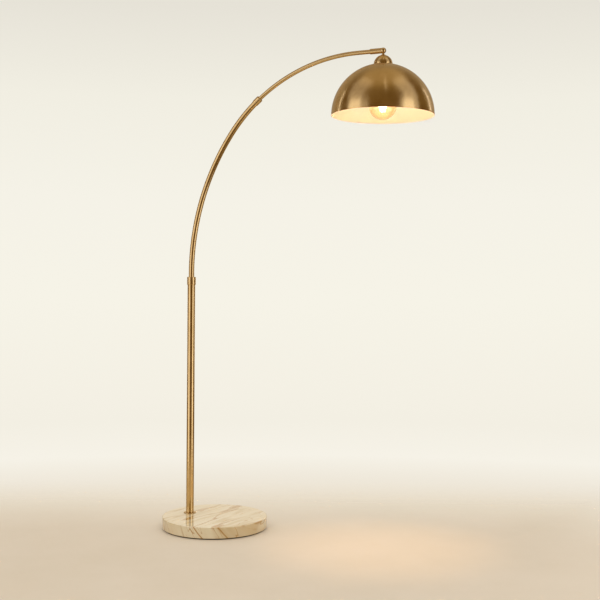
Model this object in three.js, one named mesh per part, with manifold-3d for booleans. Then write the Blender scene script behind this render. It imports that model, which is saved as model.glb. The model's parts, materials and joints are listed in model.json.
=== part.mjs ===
// Arc floor lamp: a marble disc carries an upright pole, a telescopic arc in two tubes, and a dome shade
// that tilts on a knuckle. Units are millimetres and +Z is up. The arm reaches along +X, and the origin is
// on the floor under the middle of the disc. Each mesh is one physical piece, and there is one group for
// each body that moves: the stand, the lower arm, the upper arm and the head.
import * as THREE from "three";
import { mergeVertices } from "three/addons/utils/BufferGeometryUtils.js";
import Module from "manifold-3d";

const wasm = await Module();
wasm.setup();

// ---------------------------------------------------------------- driving dimensions

// Clearances
const staticGap = 0.3; // between two pieces that are fixed to each other
const slideGap = 0.45; // round a tube that slides or turns in its bush
const screwGap = 0.2; // round a screw in its hole
const turnGap = 0.5; // round the tongue in the knuckle's slot
const overrun = 1; // how far a cutting tool runs past the face that it opens

// Marble disc and its pad
const baseDiameter = 340;
const baseThickness = 35;
const baseEdgeRadius = 2.5;
const padThickness = 3;
const padInset = 5; // the pad's edge stands back from the marble's
const poleOffset = 94; // from the disc's middle back to the pole's axis
const counterboreDepth = 20;
const counterboreRoom = 5; // round the washer
const channelSide = 9; // width and depth of the lead's groove under the marble

// Clamping stack in the counterbore
const studDiameter = 10;
const studBore = 7;
const studHoleRoom = 0.6;
const studTail = 0.5; // of stud below its nut
const washerDiameter = 40;
const washerThickness = 2.5;
const springWasherDiameter = 18;
const springWasherThickness = 2;
const springWasherSplit = 1.2;
const springWasherSlant = 0.5; // radians that its split leans
const nutAcrossFlats = 17;
const nutThickness = 5;

// Gland at the outer end of the groove
const glandLength = 14;
const glandFlangeDiameter = 11;
const glandFlangeThickness = 2;
const glandBore = 6.5;

// Pole
const poleWall = 1.2;
const poleLength = 771;
const flangeDiameter = 40;
const flangeThickness = 1.7;
const flangeBevel = 1;
const footPlugHeight = 18;
const poleBushWall = 1.55;
const poleBushLength = 56;

// Collars
const poleCollarWall = 1.45;
const poleCollarLength = 26;
const armCollarWall = 0.9;
const armCollarLength = 23.5;
const collarLip = 2.7; // thickness of the inward lip at a collar's mouth
const mouthChamfer = 1.2; // at a collar's lipped end
const tailChamfer = 0.6; // at its other end

// Line of the arm: up out of the pole, round two bends, and level to the knuckle
const tailDepth = 60; // of the lower tube below the top of the pole's collar
const straightRise = 12; // above that collar, before the first bend
const lowerBendRadius = 764;
const lowerBendAngle = THREE.MathUtils.degToRad(35.8);
const upperBendRadius = 537.5;
const levelRun = 81.7; // from the end of the second bend to the pivot
const mouthAngle = THREE.MathUtils.degToRad(51.8); // of the arm at the mouth of its collar

// Arm tubes. The lower tube and the pole are sized to pass the tube inside them with its bush.
const upperTubeDiameter = 13;
const upperTubeWall = 1;
const lowerTubeWall = 1;
const mouthBushWall = 0.75;
const mouthBushLength = 30;
const insertedLength = 100; // of the upper tube inside the lower one at rest
const retraction = 28; // how much farther the upper tube can be pushed in
const sliderLength = 12;

// Grub screws, all on the +Y side
const grubDiameter = 4;
const sleeveGrubDiameter = 3;
const grubSocketShare = 0.5; // hexagon across flats to screw diameter
const grubSocketDepth = 1;

// Knuckle
const sleeveWall = 1.45;
const sleeveLength = 41.6; // from the pivot back to its open end
const sleeveSocketDepth = 22; // of upper tube inside the sleeve
const sleeveLeadBore = 8;
const ballSwell = 0.5; // how far the ball stands out from the sleeve
const tongueThickness = 4.2;
const tongueEyeDiameter = 12;
const tongueStemWidth = 6;
const frictionWasherThickness = 0.7;
const frictionWasherDiameter = 11;
const washerGap = 0.15; // on each side of a friction washer
const pivotScrewDiameter = 4;
const pivotHeadDiameter = 7;
const pivotHeadThickness = 2;
const pivotHeadDepth = 0.9; // of the head below the ball's side
const pivotBlindDepth = 1.3; // of ball beyond the screw's end
const driverSlot = 1; // width and depth
const tiltIn = THREE.MathUtils.degToRad(20); // of the head towards the pole
const tiltOut = THREE.MathUtils.degToRad(75); // of the head away from it
const neckDiameter = 11;
const neckTop = 9.6; // below the pivot
const neckShoulder = 12.2; // below the pivot
const stemDiameter = 9.8;
const stemBore = 6;

// Shade and the cap on its crown
const shadeDiameter = 310;
const shadeWall = 0.8;
const crownDrop = 40; // from the pivot down to the top of the dome
const crownFlatRadius = 16; // of the washer's seat, which the cap hides
const capDiameter = 57;
const capWall = 1;
const capSkirt = 0.4;
const shadeWasherDiameter = 24;
const shadeWasherThickness = 1.5;
const shadeNutAcrossFlats = 14;
const shadeNutThickness = 5;
const spacerDiameter = 14;
const spacerLength = 8.4;

// Lampholder
const holderDiameter = 39;
const holderCapHeight = 26;
const holderCapWall = 1.5;
const holderShoulder = 12; // radius of the cap's rounded top
const holderSkirtLength = 30;
const holderSkirtWall = 2;
const holderLip = 3;
const screwShellWall = 0.5;
const screwShellLength = 20;
const screwShellRoom = 0.6; // round the bulb's cap inside, and round the shell outside
const coreThickness = 8;
const coreHole = 4;
const contactDiameter = 6;
const contactThickness = 1;

// Bulb
const globeDiameter = 84;
const glassWall = 1;
const bulbNeckRise = 4; // of the glass's open end above the top of the globe
const bulbNeckDiameter = 26;
const bulbBlendDiameter = 34; // of the globe where it runs into the neck
const bulbCapDiameter = 26.4;
const bulbCapWall = 0.6;
const bulbCapLength = 21;
const bulbCapSkirt = 4; // plain length below the thread
const bulbCapCone = 2; // height of the sloping part above the thread
const bulbThreadDepth = 0.9;
const bulbThreadTurns = 5;
const bulbCapHole = 17;
const insulatorHeight = 3;
const bulbTipDiameter = 7;
const bulbTipThickness = 1.2;
const filamentCount = 4;
const filamentCircle = 16; // diameter of the ring that they stand on
const filamentThickness = 1.8;
const filamentLength = 34;
const filamentHub = 2; // diameter of the hub at each end
const filamentArm = 0.6; // side of the wires from hub to filaments
const bulbStemDiameter = 5.4;

// Lead, left in one run inside each body
const leadDiameter = 4;
const leadEndGap = 6; // of each run from the end of its tube
const leadHeadGap = 1; // of the head's run from the core below and the neck above

// Facets
const discFacets = 64;
const shadeFacets = 40;
const roundFacets = 24;
const smallFacets = 16;
const finestFacets = 8;
const arcStep = 33; // longest straight facet of a tube along its bend

// ---------------------------------------------------------------- sizes that follow from the fits

const upperTubeRadius = upperTubeDiameter / 2;
const upperTubeBore = upperTubeRadius - upperTubeWall;
const lowerTubeBore = upperTubeRadius + slideGap + mouthBushWall + staticGap;
const lowerTubeRadius = lowerTubeBore + lowerTubeWall;
const poleBore = lowerTubeRadius + slideGap + poleBushWall + staticGap;
const poleRadius = poleBore + poleWall;
const baseRadius = baseDiameter / 2;
const shadeRadius = shadeDiameter / 2;
const capRadius = capDiameter / 2;
const leadRadius = leadDiameter / 2;

const poleX = -poleOffset;
const marbleTop = padThickness + baseThickness;
const poleFoot = marbleTop + flangeThickness + staticGap;
const poleTop = poleFoot + poleLength;
const poleCollarTop = poleTop + staticGap + collarLip;
const tailFoot = poleCollarTop - tailDepth;
const bendStart = poleCollarTop + straightRise;

// ---------------------------------------------------------------- line of the arm

const straightLength = bendStart - tailFoot;
const lowerBendEnd = straightLength + lowerBendRadius * lowerBendAngle;
const upperBendEnd = lowerBendEnd + upperBendRadius * (Math.PI / 2 - lowerBendAngle);
const armEnd = upperBendEnd + levelRun;
const bendCentreX = poleX + lowerBendRadius - (lowerBendRadius - upperBendRadius) * Math.cos(lowerBendAngle);
const bendCentreZ = bendStart + (lowerBendRadius - upperBendRadius) * Math.sin(lowerBendAngle);

// The place on the arm at a distance from the foot of its tail, and the angle that it has leant over by there.
function armAt(distance) {
  if (distance <= straightLength) return { x: poleX, z: tailFoot + distance, lean: 0 };
  if (distance <= lowerBendEnd) {
    const lean = (distance - straightLength) / lowerBendRadius;
    const x = poleX + lowerBendRadius * (1 - Math.cos(lean));
    return { x, z: bendStart + lowerBendRadius * Math.sin(lean), lean };
  }
  if (distance <= upperBendEnd) {
    const lean = lowerBendAngle + (distance - lowerBendEnd) / upperBendRadius;
    const x = bendCentreX - upperBendRadius * Math.cos(lean);
    return { x, z: bendCentreZ + upperBendRadius * Math.sin(lean), lean };
  }
  return { x: bendCentreX + distance - upperBendEnd, z: bendCentreZ + upperBendRadius, lean: Math.PI / 2 };
}

class ArmStretch extends THREE.Curve {
  constructor(from, to) {
    super();
    this.from = from;
    this.to = to;
  }

  getPoint(t, target = new THREE.Vector3()) {
    const { x, z } = armAt(this.from + t * (this.to - this.from));
    return target.set(x, 0, z);
  }
}

const pivot = armAt(armEnd);
const mouth = lowerBendEnd + upperBendRadius * (mouthAngle - lowerBendAngle);

// ---------------------------------------------------------------- finishes

const finish = (color, roughness, metalness) => new THREE.MeshStandardMaterial({ color, roughness, metalness });
const satinBrass = finish(0xb08a4a, 0.32, 1);
const polishedMarble = finish(0xe6dcc8, 0.15, 0);
const blackFoam = finish(0x1c1a18, 0.95, 0);
const blackPlastic = finish(0x201f1e, 0.5, 0);
const nylon = finish(0xe9e6dc, 0.55, 0);
const zincSteel = finish(0xb9bcbf, 0.4, 1);
const creamPlastic = finish(0xf4ecd6, 0.35, 0);
const contactBrass = finish(0xc9a455, 0.3, 1);
const ceramic = finish(0xf1efe8, 0.4, 0);
const filamentYellow = finish(0xffd27a, 0.6, 0);
const leadSheath = finish(0x2a2826, 0.6, 0);
const amberGlass = finish(0xf6dca8, 0.03, 0);
amberGlass.transparent = true;
amberGlass.opacity = 0.3;

// ---------------------------------------------------------------- shapes

const point = (x, y) => new THREE.Vector2(x, y);

// Points on a circle about (centreX, centreY), from one angle to another.
function arcPoints(centreX, centreY, radius, from, to, steps) {
  return Array.from({ length: steps + 1 }, (_, i) => {
    const angle = from + ((to - from) * i) / steps;
    return point(centreX + radius * Math.cos(angle), centreY + radius * Math.sin(angle));
  });
}

// Twice the area inside a closed outline, positive when it runs anticlockwise.
function signedArea(points) {
  return points.reduce((sum, p, i) => sum + p.cross(points[(i + 1) % points.length]), 0);
}

// A piece turned about Z. Its (radius, height) points start and end on the axis, or go once round a ring.
function turned(points, facets = roundFacets) {
  const outline = signedArea(points) > 0 ? points : [...points].reverse();
  const meetsAxis = outline[0].x === 0 && outline[outline.length - 1].x === 0;
  const closed = meetsAxis ? outline : [...outline, outline[0].clone()];
  return new THREE.LatheGeometry(closed, facets).rotateX(Math.PI / 2);
}

function ring(innerRadius, outerRadius, bottom, top, facets = roundFacets) {
  const corners = [point(innerRadius, bottom), point(outerRadius, bottom)];
  return turned([...corners, point(outerRadius, top), point(innerRadius, top)], facets);
}

function rod(radius, bottom, top, facets = smallFacets) {
  return turned([point(0, bottom), point(radius, bottom), point(radius, top), point(0, top)], facets);
}

// A block whose sides are at the given places along X and Z, centred on Y.
function block(xFrom, xTo, width, zFrom, zTo) {
  const middle = [(xFrom + xTo) / 2, 0, (zFrom + zTo) / 2];
  return new THREE.BoxGeometry(xTo - xFrom, width, zTo - zFrom).translate(...middle);
}

const layAlongX = (geometry) => geometry.rotateY(Math.PI / 2);
const layAlongY = (geometry) => geometry.rotateX(-Math.PI / 2);

function circle(radius, holeRadius = 0) {
  const shape = new THREE.Shape().absarc(0, 0, radius, 0, 2 * Math.PI);
  if (holeRadius > 0) shape.holes.push(new THREE.Path().absarc(0, 0, holeRadius, 0, 2 * Math.PI, true));
  return shape;
}

// An outline in the XZ plane, given thickness along Y and centred on it.
function plate(shape, thickness) {
  const options = { depth: thickness, bevelEnabled: false, curveSegments: roundFacets / 2 };
  const slab = new THREE.ExtrudeGeometry(shape, options);
  return slab.translate(0, 0, -thickness / 2).rotateX(Math.PI / 2);
}

// A tube along the arm, or a solid rod when it has no bore.
function alongArm(from, to, radius, bore, facets = smallFacets) {
  return new THREE.ExtrudeGeometry(circle(radius, bore), {
    extrudePath: new ArmStretch(from, to),
    steps: Math.ceil((to - from) / arcStep),
    curveSegments: facets / 2,
    bevelEnabled: false,
  });
}

function toSolid(geometry) {
  const bare = geometry.clone();
  bare.deleteAttribute("normal");
  bare.deleteAttribute("uv");
  const merged = mergeVertices(bare, 1e-3);
  const vertProperties = merged.attributes.position.array;
  const triVerts = new Uint32Array(merged.index.array);
  return new wasm.Manifold(new wasm.Mesh({ numProp: 3, vertProperties, triVerts }));
}

function toGeometry(solid) {
  const { vertProperties, triVerts } = solid.getMesh();
  return new THREE.BufferGeometry()
    .setAttribute("position", new THREE.BufferAttribute(vertProperties, 3))
    .setIndex(new THREE.BufferAttribute(triVerts, 1));
}

function cut(body, ...tools) {
  return toGeometry(tools.map(toSolid).reduce((left, tool) => left.subtract(tool), toSolid(body)));
}

function join(...bodies) {
  return toGeometry(bodies.map(toSolid).reduce((whole, next) => whole.add(next)));
}

// ---------------------------------------------------------------- the four bodies

const lamp = new THREE.Group();
const stand = new THREE.Group();
const lowerArm = new THREE.Group();
const upperArm = new THREE.Group();
const knuckle = new THREE.Group();
const head = new THREE.Group();
lamp.add(stand, lowerArm, upperArm, head);
upperArm.add(knuckle);
knuckle.position.set(pivot.x, 0, pivot.z); // places in the knuckle and the head are from the pivot
head.position.copy(knuckle.position);

function add(group, name, geometry, material, position = [0, 0, 0]) {
  const mesh = new THREE.Mesh(geometry, material);
  mesh.name = name;
  mesh.position.set(...position);
  group.add(mesh);
  return mesh;
}

// ---------------------------------------------------------------- fasteners

function hexNut(acrossFlats, boreRadius, thickness) {
  const corner = acrossFlats / Math.sqrt(3);
  const body = new THREE.CylinderGeometry(corner, corner, thickness, 6).rotateX(Math.PI / 2);
  return cut(body, rod(boreRadius, -thickness, thickness));
}

// A grub screw along +Y, with its tip and its socket at the given distances from a tube's axis.
function addGrubScrew(group, name, diameter, tip, top, position) {
  const corner = (diameter * grubSocketShare) / Math.sqrt(3);
  const socket = new THREE.CylinderGeometry(corner, corner, 2 * grubSocketDepth, 6).rotateX(Math.PI / 2);
  const screw = cut(rod(diameter / 2, tip, top), socket.translate(0, 0, top));
  return add(group, name, layAlongY(screw), zincSteel, position);
}

// The hole for it, as a tool that reaches out past the given radius.
function grubHole(diameter, radius, [x, y, z]) {
  return layAlongY(rod(diameter / 2 + screwGap, 0, radius + overrun)).translate(x, y, z);
}

// ---------------------------------------------------------------- base

const studRadius = studDiameter / 2;
const studFit = studRadius + staticGap;
const counterboreTop = padThickness + counterboreDepth;
const grooveTop = padThickness + channelSide;
const leadZ = padThickness + channelSide / 2;

function marbleDisc() {
  const centre = baseRadius - baseEdgeRadius;
  const lowerEdge = arcPoints(centre, padThickness + baseEdgeRadius, baseEdgeRadius, -Math.PI / 2, 0, 2);
  const upperEdge = arcPoints(centre, marbleTop - baseEdgeRadius, baseEdgeRadius, 0, Math.PI / 2, 2);
  const body = turned([point(0, padThickness), ...lowerEdge, ...upperEdge, point(0, marbleTop)], discFacets);
  const studHole = rod(studRadius + studHoleRoom, 0, marbleTop + overrun).translate(poleX, 0, 0);
  const counterboreRadius = washerDiameter / 2 + counterboreRoom;
  const counterbore = rod(counterboreRadius, 0, counterboreTop, roundFacets).translate(poleX, 0, 0);
  const groove = block(-baseRadius - overrun, poleX, channelSide, 0, grooveTop);
  return cut(body, studHole, counterbore, groove);
}

add(stand, "marble_disc", marbleDisc(), polishedMarble);
add(stand, "base_pad", rod(baseRadius - padInset, 0, padThickness - staticGap, discFacets), blackFoam);

function cordGland() {
  const side = channelSide - 2 * staticGap;
  const body = block(-glandFlangeThickness, glandLength, side, -side / 2, side / 2);
  const flange = layAlongX(rod(glandFlangeDiameter / 2, -glandFlangeThickness, -staticGap, roundFacets));
  const hole = layAlongX(rod(glandBore / 2, -glandFlangeThickness - overrun, glandLength + overrun));
  return cut(join(body, flange), hole);
}

add(stand, "cord_gland", cordGland(), blackPlastic, [-baseRadius, 0, leadZ]);

function baseFlange() {
  const radius = flangeDiameter / 2;
  const lower = [point(studFit, 0), point(radius, 0), point(radius, flangeThickness - flangeBevel)];
  return turned([...lower, point(radius - flangeBevel, flangeThickness), point(studFit, flangeThickness)]);
}

add(stand, "base_flange", baseFlange(), satinBrass, [poleX, 0, marbleTop + staticGap / 2]);

// The clamping stack hangs from the counterbore's ceiling.
const washerTop = counterboreTop - staticGap;
const springWasherTop = washerTop - washerThickness - staticGap;
const nutTop = springWasherTop - springWasherThickness - staticGap;
const studFoot = nutTop - nutThickness - studTail;
const studTop = poleFoot + footPlugHeight;

function springWasher() {
  const whole = ring(studFit, springWasherDiameter / 2, -springWasherThickness, 0, smallFacets);
  const reach = 2 * springWasherThickness;
  const split = block(0, springWasherDiameter, springWasherSplit, -reach, reach);
  return cut(whole, split.rotateX(springWasherSlant));
}

const washer = ring(studFit, washerDiameter / 2, -washerThickness, 0);
add(stand, "base_washer", washer, zincSteel, [poleX, 0, washerTop]);
add(stand, "base_spring_washer", springWasher(), zincSteel, [poleX, 0, springWasherTop]);
const baseNut = hexNut(nutAcrossFlats, studFit, nutThickness);
add(stand, "base_nut", baseNut, zincSteel, [poleX, 0, nutTop - nutThickness / 2]);
const stud = ring(studBore / 2, studRadius, studFoot, studTop, smallFacets);
add(stand, "base_stud", stud, zincSteel, [poleX, 0, 0]);

// ---------------------------------------------------------------- pole

const poleCollarRadius = poleRadius + staticGap + poleCollarWall;
const poleGrubPlace = [0, 0, poleCollarTop - poleCollarLength / 2];
const poleGrubHole = grubHole(grubDiameter, poleCollarRadius, poleGrubPlace);

// A collar whose bore takes one tube, and whose lip lets a thinner one through. Its mouth is at z = 0.
function collar(radius, length, boreRadius, lipRadius) {
  return turned([
    point(boreRadius, -length),
    point(radius - tailChamfer, -length),
    point(radius, tailChamfer - length),
    point(radius, -mouthChamfer),
    point(radius - mouthChamfer, 0),
    point(lipRadius, 0),
    point(lipRadius, -collarLip),
    point(boreRadius, -collarLip),
  ]);
}

const footPlug = ring(studFit, poleBore - staticGap, poleFoot, studTop);
add(stand, "pole_foot_plug", footPlug, zincSteel, [poleX, 0, 0]);

const poleTube = cut(ring(poleBore, poleRadius, poleFoot, poleTop), poleGrubHole);
add(stand, "pole_tube", poleTube, satinBrass, [poleX, 0, 0]);

const lowerTubeFit = lowerTubeRadius + slideGap;
const poleCollar = collar(poleCollarRadius, poleCollarLength, poleRadius + staticGap, lowerTubeFit);
const drilledPoleCollar = cut(poleCollar.translate(0, 0, poleCollarTop), poleGrubHole);
add(stand, "pole_collar", drilledPoleCollar, satinBrass, [poleX, 0, 0]);

const poleBushTop = poleTop - staticGap;
const poleBush = ring(lowerTubeFit, poleBore - staticGap, poleBushTop - poleBushLength, poleBushTop);
add(stand, "pole_bush", cut(poleBush, poleGrubHole), nylon, [poleX, 0, 0]);

const poleGrubTip = lowerTubeRadius + staticGap;
const poleGrubTop = poleCollarRadius - staticGap;
addGrubScrew(stand, "pole_grub_screw", grubDiameter, poleGrubTip, poleGrubTop, [poleX, 0, poleGrubPlace[2]]);

// ---------------------------------------------------------------- lower arm

// A straight collar on a bent tube needs room for the bend and for the tube's facets.
const bendRise = (armCollarLength ** 2 + arcStep ** 2) / (8 * upperBendRadius);
const armCollarBore = lowerTubeRadius + staticGap + bendRise;
const armCollarRadius = armCollarBore + armCollarWall;
const upperTubeFit = upperTubeRadius + slideGap;
const lowerTubeEnd = mouth - collarLip - staticGap;
const collarMiddle = armAt(mouth - armCollarLength / 2);
const armGrubPlace = [collarMiddle.x, 0, collarMiddle.z];
const armGrubHole = grubHole(grubDiameter, armCollarRadius, armGrubPlace);

const lowerTube = alongArm(0, lowerTubeEnd, lowerTubeRadius, lowerTubeBore);
add(lowerArm, "lower_arc_tube", cut(lowerTube, armGrubHole), satinBrass);

const armCollar = collar(armCollarRadius, armCollarLength, armCollarBore, upperTubeFit)
  .translate(0, 0, armCollarLength / 2)
  .rotateY(collarMiddle.lean)
  .translate(...armGrubPlace);
add(lowerArm, "arm_collar", cut(armCollar, armGrubHole), satinBrass);

const mouthBushStart = lowerTubeEnd - mouthBushLength;
const mouthBush = alongArm(mouthBushStart, lowerTubeEnd, lowerTubeBore - staticGap, upperTubeFit);
add(lowerArm, "arm_mouth_bush", cut(mouthBush, armGrubHole), nylon);

const armGrubTop = armCollarRadius - staticGap;
addGrubScrew(lowerArm, "arm_grub_screw", grubDiameter, upperTubeRadius + staticGap, armGrubTop, armGrubPlace);

// ---------------------------------------------------------------- upper arm

const upperTubeStart = mouth - insertedLength;
const upperTubeEnd = armEnd - sleeveLength + sleeveSocketDepth;
const sleeveGrubX = sleeveSocketDepth / 2 - sleeveLength;
const sleeveRadius = upperTubeRadius + staticGap + sleeveWall;
const tubeGrubPlace = [pivot.x + sleeveGrubX, 0, pivot.z];

const upperTube = alongArm(upperTubeStart, upperTubeEnd, upperTubeRadius, upperTubeBore);
const drilledUpperTube = cut(upperTube, grubHole(sleeveGrubDiameter, sleeveRadius, tubeGrubPlace));
add(upperArm, "upper_arc_tube", drilledUpperTube, satinBrass);

const sliderEnd = upperTubeStart - staticGap;
const slider = alongArm(sliderEnd - sliderLength, sliderEnd, lowerTubeBore - slideGap, leadRadius + slideGap);
add(upperArm, "arm_slider", slider, nylon);

// ---------------------------------------------------------------- knuckle

const ballRadius = sleeveRadius + ballSwell;
const tongueEyeRadius = tongueEyeDiameter / 2;
const pivotFit = pivotScrewDiameter / 2 + screwGap;
const pivotEnd = ballRadius - pivotBlindDepth;
const pivotHeadTop = ballRadius - pivotHeadDepth;
const pivotHeadSeat = pivotHeadTop - pivotHeadThickness;

// The slot's outline: a round pocket for the tongue's eye, which opens downwards and forwards for its stem.
function slotOutline() {
  const pocketRadius = tongueEyeRadius + turnGap;
  const stemRoom = Math.asin((tongueStemWidth / 2 + turnGap) / pocketRadius);
  const rearEdge = -Math.PI / 2 - tiltIn - stemRoom;
  const frontEdge = -Math.PI / 2 + tiltOut + stemRoom;
  return new THREE.Shape()
    .absarc(0, 0, pocketRadius, frontEdge, rearEdge + 2 * Math.PI)
    .absarc(0, 0, 2 * ballRadius, rearEdge, frontEdge);
}

function knuckleSleeve() {
  const sleeve = turned([
    point(0, -sleeveLength),
    point(sleeveRadius - tailChamfer, -sleeveLength),
    point(sleeveRadius, tailChamfer - sleeveLength),
    point(sleeveRadius, 0),
    point(0, 0),
  ]);
  const ball = new THREE.SphereGeometry(ballRadius, roundFacets, roundFacets / 2);
  const socketEnd = sleeveSocketDepth + staticGap - sleeveLength;
  const socket = rod(upperTubeRadius + staticGap, -sleeveLength - overrun, socketEnd, roundFacets);
  const leadBore = rod(sleeveLeadBore / 2, -sleeveLength, 0);
  const slot = plate(slotOutline(), tongueThickness + 2 * frictionWasherThickness + 4 * washerGap);
  const shankHole = rod(pivotFit, -pivotEnd - staticGap, ballRadius);
  const headHole = rod(pivotHeadDiameter / 2 + screwGap, pivotHeadSeat - staticGap, ballRadius + overrun);
  const grub = grubHole(sleeveGrubDiameter, sleeveRadius, [sleeveGrubX, 0, 0]);
  const lengthways = [socket, leadBore].map(layAlongX);
  const crossways = [shankHole, headHole].map(layAlongY);
  return cut(join(layAlongX(sleeve), ball), ...lengthways, slot, ...crossways, grub);
}

add(knuckle, "knuckle_sleeve", knuckleSleeve(), satinBrass);

const sleeveGrubTip = upperTubeBore + staticGap;
const sleeveGrubTop = sleeveRadius - staticGap;
const sleeveGrubPlace = [sleeveGrubX, 0, 0];
addGrubScrew(knuckle, "sleeve_grub_screw", sleeveGrubDiameter, sleeveGrubTip, sleeveGrubTop, sleeveGrubPlace);

function pivotScrew() {
  const shank = rod(pivotScrewDiameter / 2, -pivotEnd, pivotHeadTop);
  const screwHead = rod(pivotHeadDiameter / 2, pivotHeadSeat, pivotHeadTop);
  const slot = block(-pivotHeadDiameter, pivotHeadDiameter, driverSlot, pivotHeadTop - driverSlot, ballRadius);
  return layAlongY(cut(join(shank, screwHead), slot));
}

add(knuckle, "pivot_screw", pivotScrew(), zincSteel);

const washerNear = tongueThickness / 2 + washerGap;
const washerFar = washerNear + frictionWasherThickness;
const washerRim = frictionWasherDiameter / 2;
const frontWasher = ring(pivotFit, washerRim, -washerFar, -washerNear, smallFacets);
const backWasher = ring(pivotFit, washerRim, washerNear, washerFar, smallFacets);
add(knuckle, "friction_washer_front", layAlongY(frontWasher), nylon);
add(knuckle, "friction_washer_back", layAlongY(backWasher), nylon);

// ---------------------------------------------------------------- places down the head

const rimZ = -crownDrop - shadeRadius;
const domeHeightAt = (radius) => rimZ + Math.sqrt(shadeRadius ** 2 - radius ** 2);
const crownFlatZ = domeHeightAt(crownFlatRadius);
const capFoot = domeHeightAt(capRadius - capWall) + staticGap;
const capCentre = capFoot + capSkirt;
const neckFoot = capCentre + capRadius + staticGap;
const shadeWasherTop = crownFlatZ - shadeWall - staticGap;
const shadeNutTop = shadeWasherTop - shadeWasherThickness - staticGap;
const spacerTop = shadeNutTop - shadeNutThickness - staticGap;

const spacerFoot = spacerTop - spacerLength;
const holderTop = spacerFoot - staticGap;
const stemFoot = holderTop - holderShoulder;
const holderSeam = holderTop - holderCapHeight;
const skirtTop = holderSeam - staticGap;
const coreTop = skirtTop - staticGap;
const coreFoot = coreTop - coreThickness;
const contactTop = coreFoot - staticGap;
const bulbTipTop = contactTop - contactThickness - staticGap;
const insulatorTop = bulbTipTop - bulbTipThickness - staticGap;
const bulbCapTop = insulatorTop - insulatorHeight - staticGap;
const bulbCapFoot = bulbCapTop - bulbCapLength;
const bulbNeckTop = bulbCapFoot - staticGap;
const globeRadius = globeDiameter / 2;
const globeCentre = bulbNeckTop - bulbNeckRise - globeRadius;

// ---------------------------------------------------------------- shade

const stemRadius = stemDiameter / 2;
const stemFit = stemRadius + staticGap;

function knuckleTongue() {
  const eye = plate(circle(tongueEyeRadius), tongueThickness);
  const tang = block(-tongueStemWidth / 2, tongueStemWidth / 2, tongueThickness, -neckShoulder, 0);
  const neck = turned([
    point(0, -neckTop),
    point(tongueStemWidth / 2, -neckTop),
    point(neckDiameter / 2, -neckShoulder),
    point(neckDiameter / 2, neckFoot),
    point(stemRadius, neckFoot),
    point(stemRadius, stemFoot),
    point(0, stemFoot),
  ]);
  const pivotHole = layAlongY(rod(pivotFit, -tongueThickness, tongueThickness));
  return cut(join(eye, tang, neck), pivotHole, rod(stemBore / 2, stemFoot - overrun, -neckShoulder));
}

add(head, "knuckle_tongue", knuckleTongue(), satinBrass);

// Half a hollow sphere on a short skirt, with a hole in its crown for the stem.
function shadeCap() {
  const side = (radius) => arcPoints(0, capCentre, radius, 0, Math.acos(stemFit / radius), 6);
  const foot = [point(capRadius - capWall, capFoot), point(capRadius, capFoot)];
  return turned([...foot, ...side(capRadius), ...side(capRadius - capWall).reverse()]);
}

add(head, "shade_cap", shadeCap(), satinBrass);

// Half a hollow sphere, pressed flat at its crown round the hole for the stem.
function shadeDome() {
  const side = (radius) => arcPoints(0, rimZ, radius, 0, Math.acos((capRadius - capWall) / radius), 9);
  const crown = (z) => [point(crownFlatRadius, z), point(stemFit, z)];
  const outside = [...side(shadeRadius), ...crown(crownFlatZ)];
  const inside = [...side(shadeRadius - shadeWall), ...crown(crownFlatZ - shadeWall)];
  return turned([...outside, ...inside.reverse()], shadeFacets);
}

add(head, "shade_dome", shadeDome(), satinBrass);

const shadeWasher = ring(stemFit, shadeWasherDiameter / 2, -shadeWasherThickness, 0, smallFacets);
add(head, "shade_washer", shadeWasher, zincSteel, [0, 0, shadeWasherTop]);
const shadeNut = hexNut(shadeNutAcrossFlats, stemFit, shadeNutThickness);
add(head, "shade_nut", shadeNut, zincSteel, [0, 0, shadeNutTop - shadeNutThickness / 2]);
add(head, "spacer_tube", ring(stemFit, spacerDiameter / 2, spacerFoot, spacerTop, smallFacets), satinBrass);

// ---------------------------------------------------------------- lampholder

const holderRadius = holderDiameter / 2;
const skirtBore = holderRadius - holderSkirtWall;
const screwShellBore = bulbCapDiameter / 2 + screwShellRoom;
const screwShellRadius = screwShellBore + screwShellWall;

function holderCap() {
  const corner = [holderRadius - holderShoulder, holderTop - holderShoulder];
  const shoulder = (radius) => arcPoints(...corner, radius, 0, Math.PI / 2, 4);
  return turned([
    point(holderRadius - holderCapWall, holderSeam),
    point(holderRadius, holderSeam),
    ...shoulder(holderShoulder),
    point(stemFit, holderTop),
    point(stemFit, holderTop - holderCapWall),
    ...shoulder(holderShoulder - holderCapWall).reverse(),
  ]);
}

function holderSkirt() {
  const foot = skirtTop - holderSkirtLength;
  const lipBore = screwShellRadius + screwShellRoom;
  return turned([
    point(lipBore, foot),
    point(holderRadius, foot),
    point(holderRadius, skirtTop),
    point(skirtBore, skirtTop),
    point(skirtBore, foot + holderLip),
    point(lipBore, foot + holderLip),
  ]);
}

add(head, "holder_cap", holderCap(), creamPlastic);
add(head, "holder_skirt", holderSkirt(), creamPlastic);
add(head, "holder_core", ring(coreHole / 2, skirtBore - staticGap, coreFoot, coreTop), ceramic);
const screwShell = ring(screwShellBore, screwShellRadius, contactTop - screwShellLength, contactTop);
add(head, "holder_screw_shell", screwShell, contactBrass);
const contact = rod(contactDiameter / 2, contactTop - contactThickness, contactTop);
add(head, "holder_contact", contact, contactBrass);

// ---------------------------------------------------------------- bulb

const filamentTop = globeCentre + filamentLength / 2;

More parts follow.
